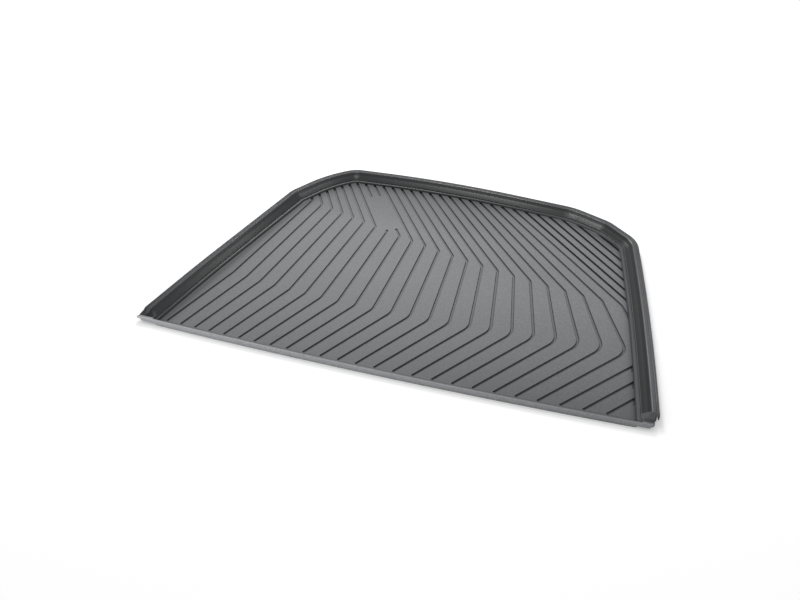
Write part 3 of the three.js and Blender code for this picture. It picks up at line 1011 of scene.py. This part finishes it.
def paintedGrooveShading(mesh):
    # painted shade: 1 on the sides of the grooves and by the wall's foot, less on other groove floors;
    # painted light: below 0 on end faces; 0 elsewhere
    polygons = len(mesh.polygons)
    normals, centres = np.empty(polygons * 3), np.empty(polygons * 3)
    mesh.polygons.foreach_get("normal", normals)
    mesh.polygons.foreach_get("center", centres)
    up, centres = normals.reshape(-1, 3)[:, 2], centres.reshape(-1, 3) / mm
    plan, height = centres[:, :2], centres[:, 2]
    behind = plan[:, 1] - np.array([edgeY(x) for x in plan[:, 0]])
    within = (height < floorHeight - sideRule["below"]) & (height > sideRule["lowest"])
    within &= (behind > sideRule["behind"]) & (up > sideRule["leastUp"])
    value = np.where(within, np.where(up < sideRule["floorUp"], 1.0, sideRule["floorShare"]), 0.0)
    byFoot = edgeDistance(plan, footLine)
    value[within & (up >= sideRule["floorUp"]) & (byFoot < sideRule["hookReach"])] = 1.0
    byPatch = edgeDistance(plan, np.array(patchOutline + patchOutline[:1]))
    for distance, share in ((byFoot, sideRule["footEnds"]), (byPatch, sideRule["patchEnds"])):
        near = within & (up < sideRule["endUp"]) & (distance < sideRule["endReach"])
        for i in np.flatnonzero(near):
            corners = np.array([mesh.vertices[v].co[:2] for v in mesh.polygons[i].vertices]) / mm
            if np.ptp(corners, axis=0).max() < sideRule["endWidth"]:
                value[i] = share
    attribute = mesh.attributes.new("paintedGrooveShading", "FLOAT", "FACE")
    attribute.data.foreach_set("value", value.astype(np.float32))


insetShare(liner.data, longRim, rubberLook["bandSpan"])
paintedGrooveShading(liner.data)
liner.data.materials.clear()
liner.data.materials.append(linerRubber)
liner.data.polygons.foreach_set("material_index", [0] * len(liner.data.polygons))
liner.data.polygons.foreach_set("use_smooth", [True] * len(liner.data.polygons))
liner.data.set_sharp_from_angle(angle=math.radians(wallShape["sharpAngle"]))
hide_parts("boot_liner")
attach(liner, "root")

# ground, backdrop and light

studio = {
    "groundColour": (0.92, 0.92, 0.92, 1),
    "groundLift": 0.24,
    "groundSize": 30.0,
    "groundHeight": -0.05,  # millimetres
    "worldStrength": 0.62,
    "lamps": {
        "keyLamp": {"at": (-0.70, 2.0, 1.75), "aim": (0.0, 0.35, 0.0), "size": 0.9, "power": 24.0},
        "leftGlint": {"at": (-0.01, 1.057, 1.03), "aim": (-0.388, 0.553, 0.0), "size": 0.2, "power": 0.6},
        "rightGlint": {"at": (-0.40, 0.795, 1.89), "aim": (0.26, 0.655, 0.0), "size": 0.26, "power": 4.5},
    },
}


def groundMaterial():
    made = bpy.data.materials.new("studioGround")
    made.use_nodes = True
    tree = made.node_tree
    tree.nodes.clear()
    output = addNode(tree, "ShaderNodeOutputMaterial", 600, 0)
    matte = addNode(tree, "ShaderNodeBsdfDiffuse", 0, 100)
    matte.inputs["Color"].default_value = studio["groundColour"]
    glow = addNode(tree, "ShaderNodeEmission", 0, -100)
    seen = addNode(tree, "ShaderNodeLightPath", -400, -100)
    lift = addNode(tree, "ShaderNodeMath", -200, -100, operation="MULTIPLY")
    lift.inputs[1].default_value = studio["groundLift"]
    both = addNode(tree, "ShaderNodeAddShader", 300, 0)
    join = tree.links.new
    join(seen.outputs["Is Camera Ray"], lift.inputs[0])
    join(lift.outputs["Value"], glow.inputs["Strength"])
    join(matte.outputs["BSDF"], both.inputs[0])
    join(glow.outputs["Emission"], both.inputs[1])
    join(both.outputs["Shader"], output.inputs["Surface"])
    return made


half = studio["groundSize"] / 2 / mm
groundCorners = [(-half, -half), (half, -half), (half, half), (-half, half)]
groundPoints = [(x, y, studio["groundHeight"]) for x, y in groundCorners]
ground = meshObject("studioGround", groundPoints, (), [(0, 1, 2, 3)])
ground.data.materials.append(groundMaterial())

world = bpy.data.worlds.new("studioWorld")
scene.world = world
world.use_nodes = True
tree = world.node_tree
tree.nodes.clear()
output = addNode(tree, "ShaderNodeOutputWorld", 500, 0)
soft = addNode(tree, "ShaderNodeBackground", 0, 100)
soft.inputs["Strength"].default_value = studio["worldStrength"]
white = addNode(tree, "ShaderNodeBackground", 0, -100)
path = addNode(tree, "ShaderNodeLightPath", -500, 300)
pick = addNode(tree, "ShaderNodeMixShader", 250, 0)
for background in (soft, white):
    background.inputs["Color"].default_value = (1, 1, 1, 1)
tree.links.new(path.outputs["Is Camera Ray"], pick.inputs["Fac"])
tree.links.new(soft.outputs["Background"], pick.inputs[1])
tree.links.new(white.outputs["Background"], pick.inputs[2])
tree.links.new(pick.outputs["Shader"], output.inputs["Surface"])

for name, lamp in studio["lamps"].items():
    light = bpy.data.lights.new(name, "AREA")
    light.shape = "DISK"
    light.size = lamp["size"]
    light.energy = lamp["power"]
    made = bpy.data.objects.new(name, light)
    made.location = lamp["at"]
    way = Vector(lamp["aim"]) - Vector(lamp["at"])
    made.rotation_euler = way.to_track_quat("-Z", "Y").to_euler()
    scene.collection.objects.link(made)
print("ground, backdrop and lamps set")

# camera

cameraView = {
    "at": (0.40924, -1.16437, 1.10668),
    "down": 37.061,  # degrees below level
    "turn": 17.632,
    "lens": 40.5,
    "sensor": 36.0,
    "photoWidth": 800,
    "shift": (-0.5, 0.5),  # pixels of the photo
    "clipEnd": 100.0,
}
camera = bpy.data.objects.new("photoCamera", bpy.data.cameras.new("photoCamera"))
scene.collection.objects.link(camera)
camera.location = cameraView["at"]
camera.rotation_euler = (math.radians(90 - cameraView["down"]), 0, math.radians(cameraView["turn"]))
camera.data.sensor_width = cameraView["sensor"]
camera.data.sensor_fit = "HORIZONTAL"
camera.data.lens = cameraView["lens"]
camera.data.shift_x = cameraView["shift"][0] / cameraView["photoWidth"]
camera.data.shift_y = cameraView["shift"][1] / cameraView["photoWidth"]
camera.data.clip_end = cameraView["clipEnd"]
scene.camera = camera
